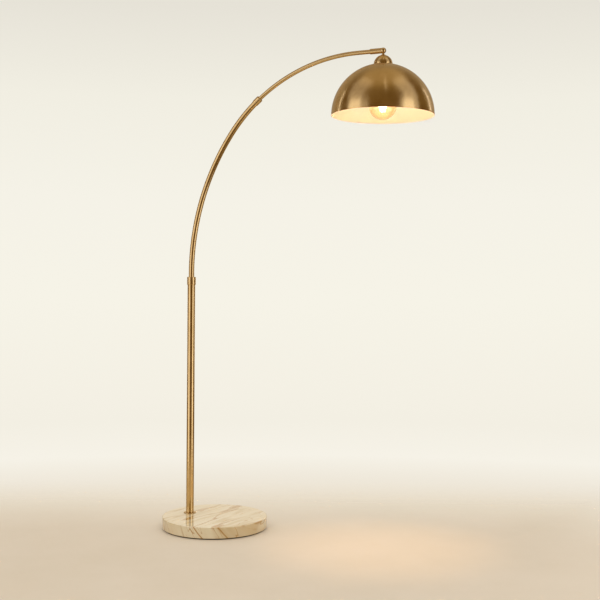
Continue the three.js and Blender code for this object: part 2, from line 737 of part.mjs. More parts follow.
function bulbGlass() {
  const neckRadius = bulbNeckDiameter / 2;
  const blendAngle = Math.acos(bulbBlendDiameter / globeDiameter);
  const blendZ = globeCentre + globeRadius * Math.sin(blendAngle);
  const side = (inset) => [
    point(0, globeCentre - globeRadius + inset),
    ...arcPoints(0, globeCentre, globeRadius - inset, -Math.PI / 2, blendAngle, 9).slice(1),
    point((2 * neckRadius + bulbBlendDiameter / 2) / 3 - inset, (blendZ + bulbNeckTop) / 2),
    point(neckRadius - inset, bulbNeckTop),
  ];
  return turned([...side(0), ...side(glassWall).reverse()]);
}

add(head, "bulb_glass", bulbGlass(), amberGlass);

// The thread is drawn as one ridge to each turn.
function bulbScrewCap() {
  const ridge = bulbCapDiameter / 2;
  const root = ridge - bulbThreadDepth;
  const bore = root - bulbCapWall;
  const threadFoot = bulbCapFoot + bulbCapSkirt;
  const pitch = (bulbCapLength - bulbCapSkirt - bulbCapCone) / bulbThreadTurns;
  const outside = [point(root, bulbCapFoot), point(root, threadFoot)];
  for (let turn = 0; turn < bulbThreadTurns; turn++) {
    const z = threadFoot + turn * pitch;
    outside.push(point(ridge, z + pitch / 2), point(root, z + pitch));
  }
  const shoulder = bulbCapTop - bulbCapCone;
  const top = [point(bulbCapHole / 2, bulbCapTop), point(bulbCapHole / 2, bulbCapTop - bulbCapWall)];
  return turned([...outside, ...top, point(bore, shoulder - bulbCapWall), point(bore, bulbCapFoot)]);
}

add(head, "bulb_screw_cap", bulbScrewCap(), contactBrass);

const insulatorFoot = insulatorTop - insulatorHeight;
const insulatorSide = [point(bulbCapHole / 2, insulatorFoot), point(bulbTipDiameter / 2, insulatorTop)];
const insulator = turned([point(0, insulatorFoot), ...insulatorSide, point(0, insulatorTop)], smallFacets);
add(head, "bulb_insulator", insulator, blackPlastic);
const bulbTip = rod(bulbTipDiameter / 2, bulbTipTop - bulbTipThickness, bulbTipTop);
add(head, "bulb_tip", bulbTip, contactBrass);

// The glass stem flares out to close the neck, and ends just above the filaments' upper hub.
function bulbStem() {
  const radius = bulbStemDiameter / 2;
  const flare = bulbNeckDiameter / 2 - glassWall - staticGap;
  const foot = filamentTop + filamentArm / 2 + staticGap;
  const half = (bulbNeckTop + foot) / 2;
  const side = [point(radius, foot), point(radius, half), point(flare, bulbNeckTop)];
  return turned([point(0, foot), ...side, point(0, bulbNeckTop)], smallFacets);
}

add(head, "bulb_stem", bulbStem(), amberGlass);

// Upright filaments on a ring, with a hub and wires joining them at each end.
function bulbFilament() {
  const pieces = [];
  const ends = [filamentTop, filamentTop - filamentLength];
  for (const z of ends) {
    pieces.push(rod(filamentHub / 2, z - filamentArm / 2, z + filamentArm / 2, finestFacets));
  }
  for (let i = 0; i < filamentCount; i++) {
    const angle = ((i + 0.5) / filamentCount) * 2 * Math.PI;
    const strand = rod(filamentThickness / 2, ends[1], ends[0], finestFacets);
    pieces.push(strand.translate(filamentCircle / 2, 0, 0).rotateZ(angle));
    for (const z of ends) {
      const wire = block(0, filamentCircle / 2, filamentArm, z - filamentArm / 2, z + filamentArm / 2);
      pieces.push(wire.rotateZ(angle));
    }
  }
  return join(...pieces);
}

add(head, "bulb_filament", bulbFilament(), filamentYellow);

// ---------------------------------------------------------------- lead

// From the gland along the groove, then up through the stud and the pole.
function poleLead() {
  const along = layAlongX(rod(leadRadius, glandLength + leadEndGap - baseRadius - poleX, 0, finestFacets));
  const elbow = new THREE.SphereGeometry(leadRadius, finestFacets, finestFacets);
  const up = rod(leadRadius, 0, tailFoot - leadEndGap - leadZ, finestFacets);
  return join(along, elbow, up);
}

const lowerLeadEnd = upperTubeStart - sliderLength - retraction - leadEndGap;
const lowerLead = alongArm(leadEndGap, lowerLeadEnd, leadRadius, 0, finestFacets);
const upperLeadEnd = armEnd - ballRadius - staticGap;
const upperLead = alongArm(upperTubeStart, upperLeadEnd, leadRadius, 0, finestFacets);
add(stand, "lead_in_pole", poleLead(), leadSheath, [poleX, 0, leadZ]);
add(lowerArm, "lead_in_lower_arc", lowerLead, leadSheath);
add(upperArm, "lead_in_upper_arc", upperLead, leadSheath);
const headLead = rod(leadRadius, coreTop + leadHeadGap, -neckShoulder - leadHeadGap, finestFacets);
add(head, "lead_in_head", headLead, leadSheath);

export default lamp;
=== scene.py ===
import json
import math

import bmesh
import bpy
from mathutils import Matrix, Vector

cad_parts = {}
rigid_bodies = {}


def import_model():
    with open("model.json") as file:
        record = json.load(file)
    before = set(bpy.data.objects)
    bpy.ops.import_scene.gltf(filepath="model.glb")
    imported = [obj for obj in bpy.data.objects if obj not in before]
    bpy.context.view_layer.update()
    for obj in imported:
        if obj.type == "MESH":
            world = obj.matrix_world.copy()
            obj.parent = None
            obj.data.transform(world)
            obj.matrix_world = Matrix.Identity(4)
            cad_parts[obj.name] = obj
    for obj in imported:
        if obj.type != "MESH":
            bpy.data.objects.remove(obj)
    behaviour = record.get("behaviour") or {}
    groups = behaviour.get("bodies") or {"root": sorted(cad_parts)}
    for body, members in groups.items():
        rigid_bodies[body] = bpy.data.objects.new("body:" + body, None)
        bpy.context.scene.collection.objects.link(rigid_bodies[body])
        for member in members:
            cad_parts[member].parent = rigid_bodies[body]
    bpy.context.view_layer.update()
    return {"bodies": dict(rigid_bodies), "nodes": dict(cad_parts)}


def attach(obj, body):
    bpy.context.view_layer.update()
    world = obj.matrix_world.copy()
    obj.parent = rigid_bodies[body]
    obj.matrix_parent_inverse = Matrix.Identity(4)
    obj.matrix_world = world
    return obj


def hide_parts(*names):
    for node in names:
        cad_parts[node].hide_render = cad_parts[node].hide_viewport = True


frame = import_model()
scene = bpy.context.scene


# ---------------------------------------------------------------- camera
# It stands a little over three metres off at table height, and looks almost level.
# The lens is a short telephoto, and the camera leans by half a degree.

eye = Vector((1.6408, -2.8904, 0.792))
heading = math.radians(24.895)
dip = math.radians(0.87)
lean_of_camera = math.radians(0.484)

lens = bpy.data.cameras.new("camera")
lens.sensor_width = 36
lens.lens = 61.24
camera = bpy.data.objects.new("camera", lens)
scene.collection.objects.link(camera)
aim = Matrix.Rotation(heading, 4, "Z") @ Matrix.Rotation(math.pi / 2 - dip, 4, "X")
camera.matrix_world = Matrix.Translation(eye) @ aim @ Matrix.Rotation(lean_of_camera, 4, "Z")
scene.camera = camera
scene.view_settings.view_transform = "Standard"


# ---------------------------------------------------------------- studio floor
# A wide sheet of warm off-white paper lies under the lamp.
# Behind the lamp it runs up into the pale backdrop with no visible edge.

mm = 0.001
away = Vector((-math.sin(heading), math.cos(heading), 0))
rightwards = Vector((math.cos(heading), math.sin(heading), 0))
floor_reach = 2
floor_drop = 0.2 * mm
fade_start = -0.25  # metres back from the disc's middle, where the paper starts to fade away
fade_end = 0.8
paper_edge = 0.85  # metres from the middle, where it starts to fade on every side
paper_end = 1.7
paper_light = (0.77, 0.675, 0.545, 1)
paper_dark = (0.74, 0.645, 0.51, 1)


def new_finish(name):
    """A new material, with its node tree and main shader."""
    material = bpy.data.materials.new(name)
    material.use_nodes = True
    tree = material.node_tree
    return material, tree, tree.nodes["Principled BSDF"]


def feed(tree, node, inputs):
    """Give a node's sockets their values, or link them to the sockets they come from."""
    for name, value in inputs.items():
        if isinstance(value, bpy.types.NodeSocket):
            tree.links.new(value, node.inputs[name])
        else:
            node.inputs[name].default_value = value


def add_node(tree, kind, inputs=(), **settings):
    """The first output of a new node, with its settings and its sockets set."""
    node = tree.nodes.new("ShaderNode" + kind)
    for name, value in settings.items():
        setattr(node, name, value)
    feed(tree, node, dict(inputs))
    return next(socket for socket in node.outputs if socket.enabled)


def colour_steps(tree, source, steps):
    """A ramp with a colour at each of the given places."""
    ramp = tree.nodes.new("ShaderNodeValToRGB")
    stops = ramp.color_ramp.elements
    while len(stops) < len(steps):
        stops.new(0.5)
    for stop, (place, colour) in zip(stops, steps):
        stop.position = place
        stop.color = (*colour[:3], 1)
    tree.links.new(source, ramp.inputs["Fac"])
    return ramp.outputs["Color"]


def object_place(tree):
    """The place on the piece itself, so that a pattern moves with it."""
    return tree.nodes.new("ShaderNodeTexCoord").outputs["Object"]


paper, tree, shader = new_finish("paper")
where = object_place(tree)
fibres = add_node(tree, "TexNoise", {"Vector": where, "Scale": 3, "Detail": 6, "Roughness": 0.6})
feed(tree, shader, {
    "Base Color": colour_steps(tree, fibres, [(0.35, paper_dark), (0.65, paper_light)]),
    "Roughness": 0.62,
    "Specular IOR Level": 0.25,
})
depth = add_node(tree, "VectorMath", {0: where, 1: away}, operation="DOT_PRODUCT")
fade = add_node(tree, "MapRange", {"Value": depth, "From Min": fade_start, "From Max": fade_end},
                interpolation_type="SMOOTHSTEP")
reach = add_node(tree, "VectorMath", {0: where}, operation="LENGTH")
rim = add_node(tree, "MapRange", {"Value": reach, "From Min": paper_edge, "From Max": paper_end},
               interpolation_type="SMOOTHSTEP")
gone = add_node(tree, "Math", {0: fade, 1: rim}, operation="MAXIMUM")
clear = add_node(tree, "BsdfTransparent")
blend = add_node(tree, "MixShader", {"Fac": gone, 1: shader.outputs["BSDF"], 2: clear})
feed(tree, tree.nodes["Material Output"], {"Surface": blend})

bm = bmesh.new()
bmesh.ops.create_grid(bm, x_segments=8, y_segments=8, size=floor_reach)
bmesh.ops.translate(bm, verts=bm.verts, vec=(0, 0, -floor_drop))
sheet = bpy.data.meshes.new("floor")
bm.to_mesh(sheet)
bm.free()
sheet.materials.append(paper)
floor = bpy.data.objects.new("floor", sheet)
scene.collection.objects.link(floor)


# ---------------------------------------------------------------- studio light
# The backdrop is cream, and a fill of light from overhead and all round lights the dull faces.
# Polished faces mirror a dim room, a tall soft box on each side with a wide glow behind it, smaller
# boxes low and high, thin strips beside and above the lamp, and a low warm wall behind it.

def linear(red, green, blue):
    """A shade on the 0 to 255 scale of a monitor, as light."""
    def light(value):
        value /= 255
        return value / 12.92 if value <= 0.04045 else ((value + 0.055) / 1.055) ** 2.4
    return (light(red), light(green), light(blue), 1)


lowest, highest = -0.26, 0.28  # how steeply a line of sight falls or rises, at the ramp's ends
backdrop_steps = [
    (-0.245, linear(228, 212, 189)),
    (-0.206, linear(236, 226, 207)),
    (-0.187, linear(239, 232, 218)),
    (-0.165, linear(246, 242, 231)),
    (-0.132, linear(243, 239, 227)),
    (-0.110, linear(244, 240, 228)),
    (-0.015, linear(246, 243, 231)),
    (0.082, linear(245, 242, 231)),
    (0.177, linear(241, 238, 226)),
    (0.26, linear(230, 226, 215)),
]
dim_room = (0.18, 0.11, 0.035)
ceiling = (0.48, 0.37, 0.22)
mirrored_wall = (0.43, 0.35, 0.24, 1)
room_to = 0.76  # how steeply up the dim room reaches, and from where all is ceiling
ceiling_from = 0.92
wall_from = 0.25  # how squarely a ray must meet the wall to see it at all, and to see only it
wall_whole = 0.7
fill_whole = 0.85  # how steeply up the fill is at its brightest
fill_dim = (0.23, 0.155, 0.08, 1)
fill_bright = (1.17, 1.14, 1.09, 1)

studio = bpy.data.worlds.new("studio")
scene.world = studio
studio.use_nodes = True
tree = studio.node_tree
ray = tree.nodes.new("ShaderNodeLightPath").outputs
way = tree.nodes.new("ShaderNodeTexCoord").outputs["Generated"]
split = tree.nodes.new("ShaderNodeSeparateXYZ")
feed(tree, split, {"Vector": way})
up = split.outputs["Z"]

rise = add_node(tree, "MapRange", {"Value": up, "From Min": lowest, "From Max": highest})
span = highest - lowest
seen = colour_steps(tree, rise, [((z - lowest) / span, colour) for z, colour in backdrop_steps])
overhead = colour_steps(tree, up, [
    (0, dim_room), (room_to, dim_room), (ceiling_from, ceiling), (1, ceiling)])
towards_wall = add_node(tree, "VectorMath", {0: way, 1: away}, operation="DOT_PRODUCT")
wall_share = add_node(tree, "MapRange", {
    "Value": towards_wall, "From Min": wall_from, "From Max": wall_whole})
mirrored = add_node(tree, "Mix", {"Factor": wall_share, "A": overhead, "B": mirrored_wall}, data_type="RGBA")
fill_share = add_node(tree, "MapRange", {"Value": up, "From Min": 0, "From Max": fill_whole})
fill = add_node(tree, "Mix", {"Factor": fill_share, "A": fill_dim, "B": fill_bright}, data_type="RGBA")

seen_light = add_node(tree, "Background", {"Color": seen})
mirrored_light = add_node(tree, "Background", {"Color": mirrored})
fill_light = add_node(tree, "Background", {"Color": fill})
unseen = add_node(tree, "MixShader", {"Fac": ray["Is Glossy Ray"], 1: fill_light, 2: mirrored_light})
both = add_node(tree, "MixShader", {"Fac": ray["Is Camera Ray"], 1: unseen, 2: seen_light})
feed(tree, tree.nodes["World Output"], {"Surface": both})

lamp_head = Vector((0.568, 0, 1.38))
daylight = (0.96, 1, 1.18)
warm_light = (1, 0.9, 0.75)


def soft_box(name, bearing, distance, height, width, tall, brightness, colour=daylight):
    """A lit panel that only polished faces show, turned towards the lamp's head.

    Its bearing from the head is in degrees: 0 is the camera's side, and right is plus."""
    angle = math.radians(bearing)
    spot = lamp_head + distance * (math.sin(angle) * rightwards - math.cos(angle) * away)
    spot.z = height
    light = bpy.data.lights.new(name, "AREA")
    light.shape = "RECTANGLE"
    light.size, light.size_y = width, tall
    light.energy = brightness * math.pi * width * tall
    light.color = colour
    panel = bpy.data.objects.new(name, light)
    scene.collection.objects.link(panel)
    facing = (lamp_head - spot).to_track_quat("-Z", "Y").to_matrix().to_4x4()
    panel.matrix_world = Matrix.Translation(spot) @ facing
    panel.visible_camera = False
    panel.visible_diffuse = False


soft_box("left_box", -69, 2.6, 1.1, 1.4, 3.2, 0.82)
soft_box("left_glow", -62, 2.75, 1.1, 2.7, 3.2, 0.42)
soft_box("left_low_box", -46, 2.5, 0.45, 0.75, 1.5, 0.4)
soft_box("left_upper_box", -76, 1.9, 3.3, 1.8, 2.2, 0.3)
soft_box("right_box", 54, 2.6, 1.1, 1.3, 3.2, 0.9)
soft_box("right_glow", 57, 2.75, 1.1, 2.5, 3.2, 0.5)
soft_box("right_low_box", 71, 2.35, 0.2, 0.7, 1.6, 0.8)
soft_box("right_upper_box", 66, 1.9, 3.3, 1.6, 2.2, 0.42)
soft_box("left_strip", -116, 2.4, 1.5, 0.12, 2.6, 2.2)
soft_box("right_strip", 124, 2.4, 1.5, 0.14, 2.6, 2.4)
soft_box("overhead_strip", 5, 1.1, 3.3, 0.07, 1.0, 1.0)
soft_box("low_wall", 180, 3.2, 0.7, 3.0, 1.0, 0.35, warm_light)


# ---------------------------------------------------------------- stone base
# A thick disc of cream marble with tan veins, sawn, turned and polished to a shine.
# Its edges are rounded. It is drilled for the stud, and grooved below for the lead.

stone_radius = 170
stone_foot = 3
stone_top = 38
stone_round = 2.5
pole_x = -94
stud_hole = 5.6
recess_radius = 25
recess_top = 23
groove_side = 9
groove_past_pole = 10
overrun = 1  # how far a cutter goes past the face it cuts
arc_step = math.radians(3)

vein_lean = (0, math.radians(-27), math.radians(-8))
vein_stretch = (1, 8, 4)
vein_sway = 0.014
cream_ground = [
    (0.3, linear(228, 209, 168)),
    (0.5, linear(237, 222, 188)),
    (0.72, linear(241, 230, 199)),
]
vein_kinds = [  # the lines' scale, width and seed; the scale and edges of the patches they show in; colour
    ((12, 0.05, 4), (5, 0.3, 0.52), linear(218, 196, 152)),
    ((17, 0.022, 4), (5, 0.34, 0.5), linear(184, 138, 68)),
    ((40, 0.014, 9), (9, 0.4, 0.55), linear(196, 156, 98)),
]


def draw_outline(bm, corners, closed=False):
    """Draw half of a section in the XZ plane, in millimetres.

    A corner is (radius, height), reached by a straight line, or
    (radius, height, middle radius, middle height), reached by an arc round that middle."""
    first = pen = bm.verts.new((corners[0][0] * mm, 0, corners[0][1] * mm))
    for radius, height, *middle in corners[1:]:
        place = Vector((radius * mm, 0, height * mm))
        if middle:
            centre = Vector((middle[0] * mm, 0, middle[1] * mm))
            start, end = pen.co - centre, place - centre
            swing = math.atan2(end.x, end.z) - math.atan2(start.x, start.z)
            swing = (swing + math.pi) % (2 * math.pi) - math.pi
            steps = max(3, round(abs(swing) / arc_step))
            arc = bmesh.ops.spin(bm, geom=[pen], cent=centre, axis=(0, 1, 0), angle=swing, steps=steps)
            pen = [part for part in arc["geom_last"] if isinstance(part, bmesh.types.BMVert)][0]
        else:
            corner = bm.verts.new(place)
            bm.edges.new((pen, corner))
            pen = corner
    if closed:
        bm.edges.new((pen, first))


def tip(bm, angle, axis="Y"):
    """Turn a shape about an axis through the origin."""
    bmesh.ops.rotate(bm, verts=bm.verts, cent=(0, 0, 0), matrix=Matrix.Rotation(angle, 3, axis))
    return bm


def turn_on_lathe(corners, closed=False, steps=96, upright=True):
    """Spin an outline about the Z axis, and lay the turned shape along X if it isn't upright."""
    bm = bmesh.new()
    draw_outline(bm, corners, closed)
    outline = bm.verts[:] + bm.edges[:]
    bmesh.ops.spin(bm, geom=outline, cent=(0, 0, 0), axis=(0, 0, 1), angle=2 * math.pi,
                   steps=steps, use_merge=True)
    bmesh.ops.remove_doubles(bm, verts=bm.verts, dist=1e-7)
    bmesh.ops.recalc_face_normals(bm, faces=bm.faces)
    return bm if upright else tip(bm, math.pi / 2)


def soften(bm, width):
    """Round the sharp edges over."""
    sharp = [edge for edge in bm.edges if len(edge.link_faces) == 2
             and edge.calc_face_angle(0) > math.radians(28)]
    bmesh.ops.bevel(bm, geom=sharp, offset=width * mm, offset_type="OFFSET", affect="EDGES",
                    segments=2, profile=0.5, material=-1, clamp_overlap=True)
    return bm


def shift(bm, x=0, y=0, z=0):
    """Move a shape by a distance in millimetres."""
    bmesh.ops.translate(bm, verts=bm.verts, vec=Vector((x, y, z)) * mm)
    return bm


def to_piece(name, bm):
    """Put a finished shape in the scene as an object."""
    mesh = bpy.data.meshes.new(name)
    bm.to_mesh(mesh)
    bm.free()
    piece = bpy.data.objects.new(name, mesh)
    scene.collection.objects.link(piece)
    return piece


def settle(piece):
    """Make the modifiers' result the piece's own mesh."""
    bpy.context.view_layer.update()
    result = piece.evaluated_get(bpy.context.evaluated_depsgraph_get())
    mesh = bpy.data.meshes.new_from_object(result)
    worked = piece.data
    piece.modifiers.clear()
    piece.data = mesh
    bpy.data.meshes.remove(worked)
    mesh.name = piece.name


def cut_or_weld(piece, tool, operation="DIFFERENCE"):
    """Take a tool's shape out of a piece, or join it on, and merge the slivers that this leaves."""
    cutter = to_piece("cutter", tool)
    step = piece.modifiers.new("cut", "BOOLEAN")
    step.operation = operation
    step.solver = "EXACT"
    step.object = cutter
    settle(piece)
    bpy.data.objects.remove(cutter)
    bm = bmesh.new()
    bm.from_mesh(piece.data)
    bmesh.ops.remove_doubles(bm, verts=bm.verts, dist=1e-6)
    bmesh.ops.dissolve_degenerate(bm, dist=1e-6, edges=bm.edges)
    bm.to_mesh(piece.data)
    bm.free()


def rod(radius, start, end, along="Z", steps=48):
    """A plain bar along an axis, for cutting holes."""
    bm = turn_on_lathe([(0, start), (radius, start), (radius, end), (0, end)], steps=steps)
    turns = {"X": (math.pi / 2, "Y"), "Y": (-math.pi / 2, "X")}
    return tip(bm, *turns[along]) if along in turns else bm


def block(x_from, x_to, width, z_from, z_to):
    """A bar of rectangular section, centred on Y, for cutting and joining."""
    bm = bmesh.new()
    bmesh.ops.create_cube(bm, size=1)
    bmesh.ops.scale(bm, verts=bm.verts, vec=Vector((x_to - x_from, width, z_to - z_from)) * mm)
    return shift(bm, (x_from + x_to) / 2, 0, (z_from + z_to) / 2)


def fit(piece, body, slot, finish, *nodes):
    """Smooth a piece, give it its finish and fix it to the part of the lamp that carries it."""
    mesh = piece.data
    mesh.polygons.foreach_set("use_smooth", [True] * len(mesh.polygons))
    mesh.set_sharp_from_angle(angle=math.radians(40))
    even = piece.modifiers.new("even", "WEIGHTED_NORMAL")
    even.keep_sharp = True
    settle(piece)
    mesh = piece.data
    if not any(mesh.materials):
        mesh.materials.clear()
        mesh.materials.append(finish)
    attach(piece, body)
    if nodes:
        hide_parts(*nodes)
    return piece


def vary_gloss(tree, source, smooth, rough, low=0, high=1):
    """A roughness that goes from smooth to rough, as a pattern goes from low to high."""
    return add_node(tree, "MapRange", {
        "Value": source, "From Min": low, "From Max": high, "To Min": smooth, "To Max": rough})


def raise_grain(tree, source, strength, height):
    """A relief that stands up from the surface where a pattern does, by a height in millimetres."""
    return add_node(tree, "Bump", {"Height": source, "Strength": strength, "Distance": height * mm})


def polished_marble():
    """Cream stone with long tan veins that lean through it, and faint clouds."""
    material, tree, shader = new_finish("polished_marble")
    where = object_place(tree)
    lie = add_node(tree, "Mapping", {"Vector": where, "Rotation": vein_lean, "Scale": vein_stretch},
                   vector_type="TEXTURE")
    bend = tree.nodes.new("ShaderNodeTexNoise")
    feed(tree, bend, {"Vector": where, "Scale": 9, "Detail": 3})
    sway = add_node(tree, "VectorMath", {0: bend.outputs["Color"], 1: (vein_sway,) * 3, 2: lie},
                    operation="MULTIPLY_ADD")

    def veins(scale, width, seed):
        """Thin lines where a slow noise crosses its middle."""
        noise = add_node(tree, "TexNoise", {
            "Vector": sway, "W": seed, "Scale": scale, "Detail": 2, "Roughness": 0.4}, noise_dimensions="4D")
        off = add_node(tree, "Math", {0: noise, 1: 0.5}, operation="SUBTRACT")
        size = add_node(tree, "Math", {0: off}, operation="ABSOLUTE")
        return add_node(tree, "MapRange", {
            "Value": size, "From Max": width, "To Min": 1, "To Max": 0}, interpolation_type="SMOOTHERSTEP")

    def patches(scale, low, high):
        """Soft areas of the stone, from none at low to whole at high."""
        noise = add_node(tree, "TexNoise", {"Vector": where, "Scale": scale, "Detail": 3})
        return add_node(tree, "MapRange", {"Value": noise, "From Min": low, "From Max": high})

    clouds = add_node(tree, "TexNoise", {"Vector": sway, "Scale": 14, "Detail": 6, "Roughness": 0.6})
    stone = colour_steps(tree, clouds, cream_ground)
    for lines, areas, colour in vein_kinds:
        share = add_node(tree, "Math", {0: veins(*lines), 1: patches(*areas)}, operation="MULTIPLY")
        stone = add_node(tree, "Mix", {"Factor": share, "A": stone, "B": colour}, data_type="RGBA")
    wear = add_node(tree, "TexNoise", {"Vector": where, "Scale": 60, "Detail": 4})
    pits = add_node(tree, "TexNoise", {"Vector": where, "Scale": 900, "Detail": 2})
    feed(tree, shader, {
        "Base Color": stone,
        "Roughness": vary_gloss(tree, wear, 0.02, 0.05),
        "Normal": raise_grain(tree, pits, 0.03, 0.05),
        "Coat Weight": 1,
        "Coat Roughness": 0.03,
    })
    return material


stone_edge = stone_radius - stone_round
stone = to_piece("stone_disc", turn_on_lathe([
    (0, stone_foot),
    (stone_edge, stone_foot),
    (stone_radius, stone_foot + stone_round, stone_edge, stone_foot + stone_round),
    (stone_radius, stone_top - stone_round),
    (stone_edge, stone_top, stone_edge, stone_top - stone_round),
    (0, stone_top),
], steps=160))
drill = turn_on_lathe([
    (0, 0),
    (recess_radius, 0),
    (recess_radius, recess_top),
    (stud_hole, recess_top),
    (stud_hole, stone_top + overrun),
    (0, stone_top + overrun),
], steps=48)
cut_or_weld(stone, shift(drill, pole_x))
groove_end = pole_x - groove_past_pole
cut_or_weld(stone, block(-stone_radius - overrun, groove_end, groove_side, 0, stone_foot + groove_side))
fit(stone, "stand", "cream_marble", polished_marble(), "marble_disc")


# ---------------------------------------------------------------- foam foot
# A disc of black foam rubber is glued under the stone, so that it grips the floor and doesn't scratch it.
# It stands back from the stone's edge, and shows as a dark line there.

pad_radius = 165
pad_height = 2.7


def speckled(name, light, dark, smooth, rough, grain, relief, metal=0):
    """A moulded, plated or sprayed finish whose grain size is in millimetres."""
    material, tree, shader = new_finish(name)
    where = object_place(tree)
    grains = add_node(tree, "TexNoise", {
        "Vector": where, "Scale": 1 / (grain * mm), "Detail": 5, "Roughness": 0.6})
    stains = add_node(tree, "TexNoise", {"Vector": where, "Scale": 0.15 / (grain * mm), "Detail": 3})
    feed(tree, shader, {
        "Base Color": colour_steps(tree, grains, [(0.35, dark), (0.68, light)]),
        "Roughness": vary_gloss(tree, stains, smooth, rough, 0.3, 0.7),
        "Normal": raise_grain(tree, grains, relief, grain),
        "Metallic": metal,
    })
    return material


black_foam = speckled("black_foam", linear(28, 22, 16), linear(12, 9, 6), 0.85, 0.97, 0.8, 0.6)
pad = to_piece("foam_foot", soften(turn_on_lathe([
    (0, 0),
    (pad_radius, 0),
    (pad_radius, pad_height),
    (0, pad_height),
], steps=128), 0.5))
fit(pad, "stand", "black_foam", black_foam, "base_pad")


# ---------------------------------------------------------------- cord gland
# A black nylon gland is pushed into the groove's mouth, and its flange covers the edge of the groove.
# The lead would leave through it, so its bore is open.

gland_outer = -172
gland_inner = -156
gland_side = 8.4
gland_foot = 3.3
gland_top = 11.7
gland_middle = 7.5
gland_bore = 3.25
gland_flange = 5.5
flange_inner = -170.3

black_plastic = speckled("black_plastic", linear(46, 44, 42), linear(26, 25, 24), 0.38, 0.6, 0.5, 0.15)
gland = to_piece("cord_gland_moulding", soften(
    block(gland_outer, gland_inner, gland_side, gland_foot, gland_top), 0.5))
flange = soften(rod(gland_flange, gland_outer, flange_inner, "X"), 0.4)
cut_or_weld(gland, shift(flange, z=gland_middle), "UNION")
cut_or_weld(gland, shift(
    rod(gland_bore, gland_outer - overrun, gland_inner + overrun, "X"), z=gland_middle))
fit(gland, "stand", "black_plastic", black_plastic, "cord_gland")


# ---------------------------------------------------------------- foot rose and clamp
# A thin brass rose covers the hole in the stone round the pole's foot.
# A hollow zinc-plated stud runs up from below, held by a washer, a spring washer and a nut.

rose_bore = 5.3
rose_radius = 20
rose_foot = 38.15
rose_top = 39.85
rose_bevel = 1

brass_light = (0.68, 0.465, 0.195, 1)
brass_dark = (0.58, 0.385, 0.15, 1)


def satin_brass(name, centre, smooth=0.2, rough=0.3, rings=None, brushed=0.0):
    """Brushed and lacquered brass plate.

    rings is the spacing in millimetres of lathe-brushed scratches round an upright axis through centre,
    and brushed is how far they spread the light across themselves. Without rings the scratches lie
    every way."""
    material, tree, shader = new_finish(name)
    lie = add_node(tree, "Mapping", {"Vector": object_place(tree), "Location": -Vector(centre) * mm})
    patina = add_node(tree, "TexNoise", {"Vector": lie, "Scale": 22, "Detail": 5, "Roughness": 0.6})
    place = lie
    if rings:
        split = tree.nodes.new("ShaderNodeSeparateXYZ")
        feed(tree, split, {"Vector": lie})
        flat = add_node(tree, "VectorMath", {0: lie, 1: (1, 1, 0)}, operation="MULTIPLY")
        far = add_node(tree, "VectorMath", {0: flat}, operation="LENGTH")
        whole = add_node(tree, "VectorMath", {0: lie}, operation="LENGTH")
        angle = add_node(tree, "Math", {0: far, 1: split.outputs["Z"]}, operation="ARCTAN2")
        travel = add_node(tree, "Math", {0: angle, 1: whole}, operation="MULTIPLY")
        spread = add_node(tree, "Math", {0: travel, 1: 1 / (rings * mm)}, operation="MULTIPLY")
        thread = add_node(tree, "CombineXYZ", {"Z": spread})
        turn = add_node(tree, "VectorMath", {0: lie, 1: (9, 9, 0)}, operation="MULTIPLY")
        place = add_node(tree, "VectorMath", {0: turn, 1: thread}, operation="ADD")
    scratches = add_node(tree, "TexNoise", {
        "Vector": place, "Scale": 1 if rings else 900, "Detail": 4, "Roughness": 0.65})
    marks = add_node(tree, "Math", {0: scratches, 1: 0.4, 2: -0.2}, operation="MULTIPLY_ADD")
    shade = add_node(tree, "Math", {0: patina, 1: marks}, operation="ADD")
    feed(tree, shader, {
        "Base Color": colour_steps(tree, shade, [(0.3, brass_dark), (0.62, brass_light)]),
        "Roughness": vary_gloss(tree, shade, smooth, rough, 0.3, 0.7),
        "Normal": raise_grain(tree, scratches, 0.05 if rings else 0.015, 0.05),
        "Metallic": 1,
    })
    if brushed:
        feed(tree, shader, {
            "Anisotropic": brushed,
            "Anisotropic Rotation": 0.25,
            "Tangent": add_node(tree, "Tangent", direction_type="RADIAL", axis="Z"),
        })
    return material


def refinish(finish, *names):
    """Give CAD nodes that keep their shape a better finish."""
    for name in names:
        for slot in frame["nodes"][name].material_slots:
            slot.material = finish


rose_brass = satin_brass("rose_brass", (pole_x, 0, 0), rings=0.4, brushed=0.4)
rose = to_piece("foot_rose", shift(soften(turn_on_lathe([
    (rose_bore, rose_foot),
    (rose_radius, rose_foot),
    (rose_radius, rose_top - rose_bevel),
    (rose_radius - rose_bevel, rose_top, rose_radius - rose_bevel, rose_top - rose_bevel),
    (rose_bore, rose_top),
], closed=True), 0.15), pole_x))
fit(rose, "stand", "satin_brass", rose_brass, "base_flange")

zinc_steel = speckled("zinc_steel", linear(196, 198, 202), linear(150, 153, 158), 0.26, 0.46, 1.2, 0.06, 1)
refinish(zinc_steel, "base_washer", "base_spring_washer", "base_nut", "base_stud", "pole_foot_plug")


# ---------------------------------------------------------------- pole
# A straight drawn brass-plated steel tube, with a plug brazed in its foot that screws onto the stud.
# Near its top a hole lets the grub screw through to the arm.

pole_radius = 12.5
pole_bore = 11.3
pole_foot = 40
pole_top = 811
pole_grub_z = 801
grub_hole = 2.2
grub_drill_length = 20


def drill_back(piece, radius, x, z):
    """Drill a grub screw's hole through the wall that faces away from the camera."""
    cut_or_weld(piece, shift(rod(radius, 0, grub_drill_length, "Y", 24), x, 0, z))


